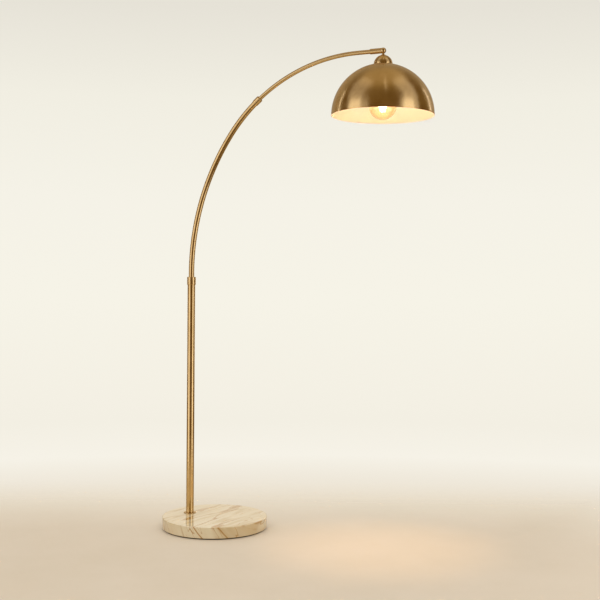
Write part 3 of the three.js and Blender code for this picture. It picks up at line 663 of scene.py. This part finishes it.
pole_brass = satin_brass("pole_brass", (pole_x, 0, 0), smooth=0.12, rough=0.19)
pole = to_piece("pole", shift(soften(turn_on_lathe([
    (pole_bore, pole_foot),
    (pole_radius, pole_foot),
    (pole_radius, pole_top),
    (pole_bore, pole_top),
], closed=True, steps=72), 0.25), pole_x))
drill_back(pole, grub_hole, pole_x, pole_grub_z)
fit(pole, "stand", "satin_brass", pole_brass, "pole_tube")


# ---------------------------------------------------------------- pole collar
# A turned brass collar is pressed over the top of the pole. Its lip closes round the arm's tail.
# Inside is a nylon bush, and a grub screw at the back stops the arm from turning.

collar_length = 26
collar_top = 814
collar_radius = 14.25
collar_bore = 12.8
tail_room = 9.45
lip = 2.7
foot_chamfer = 0.6
mouth_chamfer = 1.2


def turned_collar(radius, length, bore, mouth):
    """A collar with a lip at its mouth, which is at height 0."""
    return soften(turn_on_lathe([
        (bore, -length),
        (radius - foot_chamfer, -length),
        (radius, foot_chamfer - length),
        (radius, -mouth_chamfer),
        (radius - mouth_chamfer, 0),
        (mouth, 0),
        (mouth, -lip),
        (bore, -lip),
    ], closed=True, steps=72), 0.2)


collar_brass = satin_brass("collar_brass", (pole_x, 0, 0), smooth=0.16, rough=0.26, rings=0.3)
pole_ring = to_piece("pole_ring", shift(
    turned_collar(collar_radius, collar_length, collar_bore, tail_room), pole_x, 0, collar_top))
drill_back(pole_ring, grub_hole, pole_x, pole_grub_z)
fit(pole_ring, "stand", "satin_brass", collar_brass, "pole_collar")

white_nylon = speckled("white_nylon", linear(236, 232, 221), linear(214, 209, 196), 0.4, 0.6, 1.5, 0.05)
black_lead = speckled("black_lead", linear(56, 53, 50), linear(34, 32, 30), 0.5, 0.68, 0.7, 0.1)
refinish(white_nylon, "pole_bush")
refinish(zinc_steel, "pole_grub_screw")
refinish(black_lead, "lead_in_pole")


# ---------------------------------------------------------------- lower bow
# The arm's lower tube, bent on rollers: a straight tail in the pole, a slow bend, then a tighter one.
# It can be turned in the pole's bush.

tail_foot = 754
bend_start = 826
slow_radius = 764
slow_bend = math.radians(35.8)
tight_radius = 537.5
tight_x = 486.294
tight_z = 958.493
mouth_lean = math.radians(51.8)
lower_radius = 9
lower_bore = 8
mouth_stop = 3  # how far the tube's end lies back from the collar's mouth
arm_grub_back = 11.75
bow_brass = satin_brass("bow_brass", (0, 0, 0), smooth=0.12, rough=0.19)


def on_tight_bend(lean):
    """The place on the tight bend where the arm has leant over by that much."""
    return Vector((tight_x - tight_radius * math.cos(lean), 0, tight_z + tight_radius * math.sin(lean)))


def tube_end(radius, bore, place, lean):
    """The flat ring that a tube is drawn from."""
    bm = bmesh.new()
    for size in (radius, bore):
        bmesh.ops.create_circle(bm, segments=40, radius=size * mm)
    bmesh.ops.bridge_loops(bm, edges=bm.edges[:])
    return shift(tip(bm, lean), *place)


def draw_straight(bm, ring, vec):
    """Draw the tube on in a straight line, and return its new end."""
    drawn = bmesh.ops.extrude_face_region(bm, geom=ring)["geom"]
    ends = [part for part in drawn if isinstance(part, bmesh.types.BMVert)]
    bmesh.ops.translate(bm, verts=ends, vec=Vector(vec) * mm)
    return drawn


def draw_bend(bm, ring, centre, angle, steps):
    """Draw the tube on round a bend, and return its new end."""
    middle = Vector((centre[0], 0, centre[1])) * mm
    return bmesh.ops.spin(bm, geom=ring, cent=middle, axis=(0, 1, 0), angle=angle, steps=steps)["geom_last"]


def close_tube(bm):
    """Merge the seams of a drawn tube, turn its faces outwards and round its ends."""
    bmesh.ops.remove_doubles(bm, verts=bm.verts, dist=1e-7)
    bmesh.ops.recalc_face_normals(bm, faces=bm.faces)
    return soften(bm, 0.2)


mouth_gap = mouth_stop / tight_radius
bm = tube_end(lower_radius, lower_bore, (pole_x, 0, tail_foot), 0)
end = draw_straight(bm, bm.verts[:] + bm.edges[:] + bm.faces[:], (0, 0, bend_start - tail_foot))
end = draw_bend(bm, end, (pole_x + slow_radius, bend_start), slow_bend, steps=30)
end = draw_bend(bm, end, (tight_x, tight_z), mouth_lean - mouth_gap - slow_bend, steps=12)
lower_bow = to_piece("lower_bow", close_tube(bm))
grub_lean = mouth_lean - arm_grub_back / tight_radius
grub_place = on_tight_bend(grub_lean)
drill_back(lower_bow, grub_hole, grub_place.x, grub_place.z)
fit(lower_bow, "lower_arm", "satin_brass", bow_brass, "lower_arc_tube")
refinish(black_lead, "lead_in_lower_arc")


# ---------------------------------------------------------------- arm collar
# A smaller turned collar is pressed on the mouth of the lower bow, over a nylon bush.
# Its grub screw, at the back, clamps the upper bow at the length wanted.

arm_collar_radius = 10.58
arm_collar_bore = 9.68
arm_collar_length = 23.5
bow_room = 6.95

arm_ring_brass = satin_brass("arm_ring_brass", grub_place, smooth=0.16, rough=0.26)
bm = turned_collar(arm_collar_radius, arm_collar_length, arm_collar_bore, bow_room)
bm = tip(shift(bm, z=arm_collar_length / 2), grub_lean)
arm_ring = to_piece("arm_ring", shift(bm, *grub_place))
drill_back(arm_ring, grub_hole, grub_place.x, grub_place.z)
fit(arm_ring, "lower_arm", "satin_brass", arm_ring_brass, "arm_collar")
refinish(white_nylon, "arm_mouth_bush")
refinish(zinc_steel, "arm_grub_screw")


# ---------------------------------------------------------------- upper bow
# The arm's upper tube slides in the lower one. It goes on round the same bend, then runs level.
# A nylon slider on its hidden end keeps it centred.

upper_radius = 6.5
upper_bore = 5.5
inserted = 100
pivot_x = 567.994
pivot_z = 1495.993
end_to_pivot = 19.6
upper_level = pivot_x - end_to_pivot - tight_x
sleeve_grub_back = 30.6
sleeve_grub_hole = 1.7

start_lean = mouth_lean - inserted / tight_radius
bm = tube_end(upper_radius, upper_bore, on_tight_bend(start_lean), start_lean)
end = bm.verts[:] + bm.edges[:] + bm.faces[:]
end = draw_bend(bm, end, (tight_x, tight_z), math.pi / 2 - start_lean, steps=48)
end = draw_straight(bm, end, (upper_level, 0, 0))
upper_bow = to_piece("upper_bow", close_tube(bm))
drill_back(upper_bow, sleeve_grub_hole, pivot_x - sleeve_grub_back, pivot_z)
fit(upper_bow, "upper_arm", "satin_brass", bow_brass, "upper_arc_tube")
refinish(white_nylon, "arm_slider")
refinish(black_lead, "lead_in_upper_arc")


# ---------------------------------------------------------------- knuckle
# A turned brass sleeve fits over the end of the upper bow. It ends in a ball, with a fine groove behind it.
# The ball is slotted for the head's tongue, which a screw and two nylon washers hold.

sleeve_radius = 8.25
sleeve_length = 41.6
ball_radius = 8.75
slot_width = 6.2
pocket = 6.5
slot_reach = 17.5
tilt_out = 75  # degrees that the head can tilt away from the pole, and towards it
tilt_in = 20
half_tongue_room = 3.5
slot_half_room = math.asin(half_tongue_room / pocket)
slot_front = math.radians(tilt_out - 90) + slot_half_room
slot_back = math.radians(-tilt_in - 90) - slot_half_room
sleeve_chamfer = 0.6
ball_back = -3.5
line_front = -4.1
line_back = -4.6
line_depth = 0.45
pivot_hole = 2.2
pivot_tip = -7.75
screw_seat = 5.55
screw_seat_radius = 3.7
screw_seat_mouth = 9.75
socket_radius = 6.8
socket_end = -19.3
lead_hole = 4
lead_hole_end = -0.1


def plate(corners, thickness):
    """A flat outline in the XZ plane with thickness along Y, centred on it."""
    bm = bmesh.new()
    draw_outline(bm, corners, closed=True)
    bmesh.ops.remove_doubles(bm, verts=bm.verts, dist=1e-7)
    face = bmesh.ops.contextual_create(bm, geom=bm.edges[:])["faces"]
    pulled = bmesh.ops.extrude_face_region(bm, geom=face)["geom"]
    far_side = [part for part in pulled if isinstance(part, bmesh.types.BMVert)]
    bmesh.ops.translate(bm, verts=far_side, vec=(0, thickness * mm, 0))
    bmesh.ops.recalc_face_normals(bm, faces=bm.faces)
    return shift(bm, y=-thickness / 2)


def around(radius, angle):
    """A corner at an angle round the pivot, which is 0 along the arm and falls below it."""
    return (radius * math.cos(angle), radius * math.sin(angle))


top_of_pocket = (slot_front + slot_back + 2 * math.pi) / 2
bm = turn_on_lathe([
    (0, -sleeve_length),
    (sleeve_radius - sleeve_chamfer, -sleeve_length),
    (sleeve_radius, sleeve_chamfer - sleeve_length),
    (sleeve_radius, line_back),
    (sleeve_radius - line_depth, line_front),
    (math.sqrt(ball_radius ** 2 - ball_back ** 2), ball_back),
    (0, ball_radius, 0, 0),
], upright=False, steps=72)
knuckle = to_piece("knuckle_fork", soften(bm, 0.15))
cut_or_weld(knuckle, tip(turn_on_lathe([
    (0, pivot_tip),
    (pivot_hole, pivot_tip),
    (pivot_hole, screw_seat),
    (screw_seat_radius, screw_seat),
    (screw_seat_radius, screw_seat_mouth),
    (0, screw_seat_mouth),
], steps=32), -math.pi / 2, "X"))
cut_or_weld(knuckle, plate([
    around(pocket, slot_front),
    (*around(pocket, top_of_pocket), 0, 0),
    (*around(pocket, slot_back), 0, 0),
    around(slot_reach, slot_back),
    (*around(slot_reach, slot_front), 0, 0),
], slot_width))
cut_or_weld(knuckle, turn_on_lathe([
    (0, -sleeve_length - overrun),
    (socket_radius, -sleeve_length - overrun),
    (socket_radius, socket_end),
    (lead_hole, socket_end),
    (lead_hole, lead_hole_end),
    (0, lead_hole_end),
], upright=False, steps=48))
drill_back(knuckle, sleeve_grub_hole, -sleeve_grub_back, 0)
knuckle.data.transform(Matrix.Translation(Vector((pivot_x, 0, pivot_z)) * mm))
knuckle_brass = satin_brass("knuckle_brass", (pivot_x, 0, pivot_z), smooth=0.16, rough=0.24)
fit(knuckle, "upper_arm", "satin_brass", knuckle_brass, "knuckle_sleeve")
refinish(white_nylon, "friction_washer_front", "friction_washer_back")
refinish(zinc_steel, "pivot_screw", "sleeve_grub_screw")


# ---------------------------------------------------------------- tongue and stem
# A flat brass tongue swings in the knuckle, and widens below into a round neck.
# Its hollow stem hangs through the cap and the shade, and carries the nut and the lampholder.

tongue_thickness = 4.2
tongue_half_width = 3
tongue_eye = 6
neck_tip = -9.6
neck_shoulder = -12.2
neck_foot = -12.96
neck_radius = 5.5
stem_radius = 4.9
stem_bore = 3
stem_foot = -69.73


def at_pivot(piece):
    """Move a head piece from the origin to the pivot, where the head hangs."""
    piece.data.transform(Matrix.Translation(Vector((pivot_x, 0, pivot_z)) * mm))
    return piece


tongue = to_piece("swivel_tongue", rod(tongue_eye, -tongue_thickness / 2, tongue_thickness / 2, "Y"))
cut_or_weld(tongue, block(
    -tongue_half_width, tongue_half_width, tongue_thickness, neck_shoulder, -1), "UNION")
cut_or_weld(tongue, turn_on_lathe([
    (0, neck_tip),
    (tongue_half_width, neck_tip),
    (neck_radius, neck_shoulder),
    (neck_radius, neck_foot),
    (stem_radius, neck_foot),
    (stem_radius, stem_foot),
    (0, stem_foot),
], steps=48), "UNION")
cut_or_weld(tongue, rod(pivot_hole, -tongue_thickness, tongue_thickness, "Y", 32))
cut_or_weld(tongue, rod(stem_bore, stem_foot - overrun, neck_shoulder, steps=32))
tongue_brass = satin_brass("tongue_brass", (pivot_x, 0, pivot_z), smooth=0.24, rough=0.36)
fit(at_pivot(tongue), "head", "satin_brass", tongue_brass, "knuckle_tongue")
refinish(black_lead, "lead_in_head")


# ---------------------------------------------------------------- cap
# A half ball spun from brass sheet sits on the crown of the shade, and hides its washer's seat.
# The neck clamps it down.

cap_radius = 28.5
cap_inside = 27.5
cap_foot = -42.16
cap_centre = -41.76
stem_fit = 5.2


def on_ball(radius, across, centre):
    """The point on the upper half of a ball's outline at a distance from its axis."""
    return (across, centre + math.sqrt(radius ** 2 - across ** 2))


cap_brass = satin_brass("cap_brass", (pivot_x, 0, pivot_z + cap_centre), 0.15, 0.25, rings=0.35, brushed=0.7)
cap = to_piece("crown_cap", soften(turn_on_lathe([
    (cap_inside, cap_foot),
    (cap_radius, cap_foot),
    (cap_radius, cap_centre),
    (*on_ball(cap_radius, stem_fit, cap_centre), 0, cap_centre),
    on_ball(cap_inside, stem_fit, cap_centre),
    (cap_inside, cap_centre, 0, cap_centre),
], closed=True, steps=96), 0.25))
fit(at_pivot(cap), "head", "satin_brass", cap_brass, "shade_cap")


# ---------------------------------------------------------------- shade
# A half ball spun from thin brass sheet, brushed on the lathe and lacquered outside.
# Inside it is sprayed with warm white enamel, and its crown is pressed flat for the washer.

shade_radius = 155
shade_inside = 154.2
rim_z = -195
crown_flat = 16
crown_top = -40.83
crown_under = -41.63


warm_enamel = speckled("warm_enamel", linear(246, 240, 226), linear(241, 234, 218), 0.3, 0.42, 2.5, 0.04)
shade_brass = satin_brass("shade_brass", (pivot_x, 0, pivot_z + rim_z), 0.2, 0.27, rings=0.5, brushed=0.72)
bm = soften(turn_on_lathe([
    (shade_radius, rim_z),
    (*on_ball(shade_radius, cap_inside, rim_z), 0, rim_z),
    (crown_flat, crown_top),
    (stem_fit, crown_top),
    (stem_fit, crown_under),
    (crown_flat, crown_under),
    on_ball(shade_inside, cap_inside, rim_z),
    (shade_inside, rim_z, 0, rim_z),
], closed=True, steps=160), 0.25)
centre = Vector((0, 0, rim_z * mm))
for face in bm.faces:
    outwards = face.calc_center_median() - centre
    enamelled = face.normal.dot(outwards) < -0.5 * outwards.length
    face.material_index = 1 if enamelled else 0
shade = to_piece("shade_shell", bm)
shade.data.materials.append(shade_brass)
shade.data.materials.append(warm_enamel)
fit(at_pivot(shade), "head", "satin_brass", shade_brass, "shade_dome")
refinish(zinc_steel, "shade_washer", "shade_nut")
refinish(satin_brass("spacer_brass", (pivot_x, 0, pivot_z), 0.2, 0.32), "spacer_tube")


# ---------------------------------------------------------------- lampholder
# A cream moulded lampholder hangs on the stem: a domed cap, and a skirt screwed to it.
# A white ceramic core inside carries the brass shell and the centre contact.

holder_radius = 19.5
holder_top = -57.73
holder_round = 12
holder_seam = -83.73
holder_wall = 1.5
skirt_top = -84.03
skirt_foot = -114.03
skirt_bore = 17.5
skirt_lip_bore = 14.9
skirt_lip_top = -111.03
skirt_chamfer = 0.8
ring_depth = 0.6
ring_heights = (6, 5.4, 4.6, 4)  # of a ring groove's corners, below the skirt's top

cream_plastic = speckled("cream_plastic", linear(246, 238, 217), linear(233, 223, 199), 0.28, 0.42, 3, 0.03)
holder_cap = to_piece("holder_hood", soften(turn_on_lathe([
    (holder_radius - holder_wall, holder_seam),
    (holder_radius, holder_seam),
    (holder_radius, holder_top - holder_round),
    (holder_radius - holder_round, holder_top, holder_radius - holder_round, holder_top - holder_round),
    (stem_fit, holder_top),
    (stem_fit, holder_top - holder_wall),
    (holder_radius - holder_round, holder_top - holder_wall),
    (holder_radius - holder_wall, holder_top - holder_round,
     holder_radius - holder_round, holder_top - holder_round),
], closed=True, steps=64), 0.3))
fit(at_pivot(holder_cap), "head", "cream_plastic", cream_plastic, "holder_cap")
holder_skirt = to_piece("holder_sleeve", soften(turn_on_lathe([
    (skirt_lip_bore, skirt_foot),
    (holder_radius - skirt_chamfer, skirt_foot),
    (holder_radius, skirt_foot + skirt_chamfer),
    (holder_radius, skirt_top - ring_heights[0]),
    (holder_radius - ring_depth, skirt_top - ring_heights[1]),
    (holder_radius - ring_depth, skirt_top - ring_heights[2]),
    (holder_radius, skirt_top - ring_heights[3]),
    (holder_radius, skirt_top),
    (skirt_bore, skirt_top),
    (skirt_bore, skirt_lip_top),
    (skirt_lip_bore, skirt_lip_top),
], closed=True, steps=64), 0.25))
fit(at_pivot(holder_skirt), "head", "cream_plastic", cream_plastic, "holder_skirt")
white_ceramic = speckled(
    "white_ceramic", linear(243, 240, 232), linear(226, 222, 212), 0.25, 0.45, 1.5, 0.04)
contact_brass = speckled(
    "contact_brass", linear(222, 186, 108), linear(190, 150, 76), 0.22, 0.4, 1, 0.05, 1)
refinish(white_ceramic, "holder_core")
refinish(contact_brass, "holder_screw_shell", "holder_contact")


# ---------------------------------------------------------------- bulb
# A screw-in globe bulb of thin amber-tinted glass. Four upright filaments stand inside on a glass stem.
# Its plated brass cap has a rolled thread, a black insulator and a contact tip.

globe_centre = -166.03
globe_radius = 42
glass_wall = 1
bulb_neck = 13
bulb_neck_top = -120.03
bulb_neck_swell = 8.983
blend_x = 18.11
blend_z = 37.90
pillar_radius = 2.7
pillar_foot = -134.4
pillar_flare = 11.7
flare_round_x = pillar_flare + 3.4
flare_round_z = -131.5
cap_ridge = 13.2
cap_root = 12.3
cap_hole = 8.5
cap_sheet = 0.6
cap_shoulder = 2
screw_top = -98.73
screw_foot = -119.73
first_thread = 5.2
thread_pitch = 3
thread_turns = 5
filament_radius = 0.9
filament_ring = 8
filament_top = -149.03
filament_length = 34
filament_round = 0.8
spoke_side = 0.6
pool_height = -240


def tinted_glass(name, tint, rough):
    """Clear glass with a smoky coating, which is a little uneven."""
    material, tree, shader = new_finish(name)
    clouds = add_node(tree, "TexNoise", {"Vector": object_place(tree), "Scale": 35, "Detail": 3})
    smoky = [0.96 * part for part in tint]
    feed(tree, shader, {
        "Base Color": colour_steps(tree, clouds, [(0.3, tint), (0.7, smoky)]),
        "Roughness": vary_gloss(tree, clouds, rough * 0.8, rough * 1.2),
        "Transmission Weight": 1,
        "IOR": 1.45,
    })
    return material


def set_alight(finish, colour, strength):
    """Make a finish glow."""
    tree = finish.node_tree
    feed(tree, tree.nodes["Principled BSDF"], {"Emission Color": colour, "Emission Strength": strength})


amber_glass = tinted_glass("amber_glass", (1, 0.8, 0.64), 0.2)
set_alight(amber_glass, (1, 0.5, 0.2, 1), 0.1)
inner_radius = globe_radius - glass_wall
share = inner_radius / globe_radius
swell_x = bulb_neck + bulb_neck_swell
globe = to_piece("bulb_globe", turn_on_lathe([
    (0, globe_centre - globe_radius),
    (globe_radius, globe_centre, 0, globe_centre),
    (blend_x, globe_centre + blend_z, 0, globe_centre),
    (bulb_neck, bulb_neck_top, swell_x, bulb_neck_top),
    (bulb_neck - glass_wall, bulb_neck_top),
    (blend_x * share, globe_centre + blend_z * share, swell_x, bulb_neck_top),
    (inner_radius, globe_centre, 0, globe_centre),
    (0, globe_centre - inner_radius, 0, globe_centre),
], steps=72))
globe.visible_shadow = False
globe.visible_diffuse = False
fit(at_pivot(globe), "head", "amber_glass", amber_glass, "bulb_glass")

clear_glass = tinted_glass("clear_glass", (0.98, 0.95, 0.88), 0.03)
stem = to_piece("bulb_pillar", soften(turn_on_lathe([
    (0, filament_top + spoke_side),
    (pillar_radius, filament_top + spoke_side),
    (pillar_radius, pillar_foot),
    (pillar_flare, bulb_neck_top, flare_round_x, flare_round_z),
    (0, bulb_neck_top),
], steps=40), 0.2))
stem.visible_shadow = False
fit(at_pivot(stem), "head", "amber_glass", clear_glass, "bulb_stem")

screw_cap = to_piece("bulb_screw", soften(turn_on_lathe([
    (cap_root - cap_sheet, screw_foot),
    (cap_root, screw_foot),
    (cap_root, screw_top - cap_shoulder),
    (cap_hole, screw_top),
    (cap_hole, screw_top - cap_sheet),
    (cap_root - cap_sheet, screw_top - cap_shoulder - cap_sheet),
], closed=True, steps=60), 0.15))
bm = bmesh.new()
ridge = [bm.verts.new(Vector(corner) * mm) for corner in (
    (cap_root - 0.3, 0, -1.1),
    (cap_ridge - 0.15, 0, -0.35),
    (cap_ridge - 0.15, 0, 0.35),
    (cap_root - 0.3, 0, 1.1),
)]
face = bm.faces.new(ridge)
per_turn = 36
steps = thread_turns * per_turn - per_turn // 2
bmesh.ops.spin(bm, geom=ridge + [face] + bm.edges[:], cent=(0, 0, 0), axis=(0, 0, 1),
               angle=2 * math.pi * steps / per_turn, steps=steps, dvec=(0, 0, thread_pitch * mm / per_turn))
bmesh.ops.recalc_face_normals(bm, faces=bm.faces)
cut_or_weld(screw_cap, shift(bm, z=screw_foot + first_thread), "UNION")
fit(at_pivot(screw_cap), "head", "contact_brass", contact_brass, "bulb_screw_cap")
refinish(black_plastic, "bulb_insulator")
refinish(contact_brass, "bulb_tip")

filament_glow = speckled("filament_glow", (1, 0.72, 0.3), (0.9, 0.6, 0.2), 0.5, 0.7, 1, 0.1)
set_alight(filament_glow, (1, 0.72, 0.4, 1), 12)
filament_foot = filament_top - filament_length
bm = turn_on_lathe([
    (0, filament_foot),
    (filament_radius * 0.6, filament_foot),
    (filament_radius, filament_foot + filament_round),
    (filament_radius, filament_top - filament_round),
    (filament_radius * 0.6, filament_top),
    (0, filament_top),
], steps=16)
shift(bm, filament_ring)
for height in (filament_foot, filament_top):
    spoke = bmesh.ops.create_cube(bm, size=1)["verts"]
    bmesh.ops.scale(bm, verts=spoke, vec=Vector((filament_ring, spoke_side, spoke_side)) * mm)
    bmesh.ops.translate(bm, verts=spoke, vec=Vector((filament_ring / 2, 0, height)) * mm)
tip(bm, math.pi / 4, "Z")
bmesh.ops.spin(bm, geom=bm.verts[:] + bm.edges[:] + bm.faces[:], cent=(0, 0, 0), axis=(0, 0, 1),
               angle=1.5 * math.pi, steps=3, use_duplicate=True)
filaments = to_piece("filament_cage", bm)
filaments.visible_shadow = False
filaments.visible_diffuse = False
fit(at_pivot(filaments), "head", "filament_yellow", filament_glow, "bulb_filament")


def hang_light(name, kind, height, energy, colour, size):
    """A light in the shade that moves with the head. Neither the camera nor a polished face shows it."""
    light = bpy.data.lights.new(name, kind)
    light.energy = energy
    light.color = colour
    light.shadow_soft_size = size
    hung = bpy.data.objects.new(name, light)
    scene.collection.objects.link(hung)
    hung.matrix_world = Matrix.Translation(Vector((pivot_x, 0, pivot_z + height)) * mm)
    hung.parent = frame["bodies"]["head"]
    hung.visible_camera = False
    hung.visible_glossy = False
    return light


hang_light("bulb_light", "POINT", globe_centre, 0.68, (1, 0.67, 0.43), 0.012)
pool = hang_light("floor_pool", "SPOT", pool_height, 16, (1, 0.62, 0.3), 0.05)
pool.spot_size = math.radians(40)
pool.spot_blend = 1
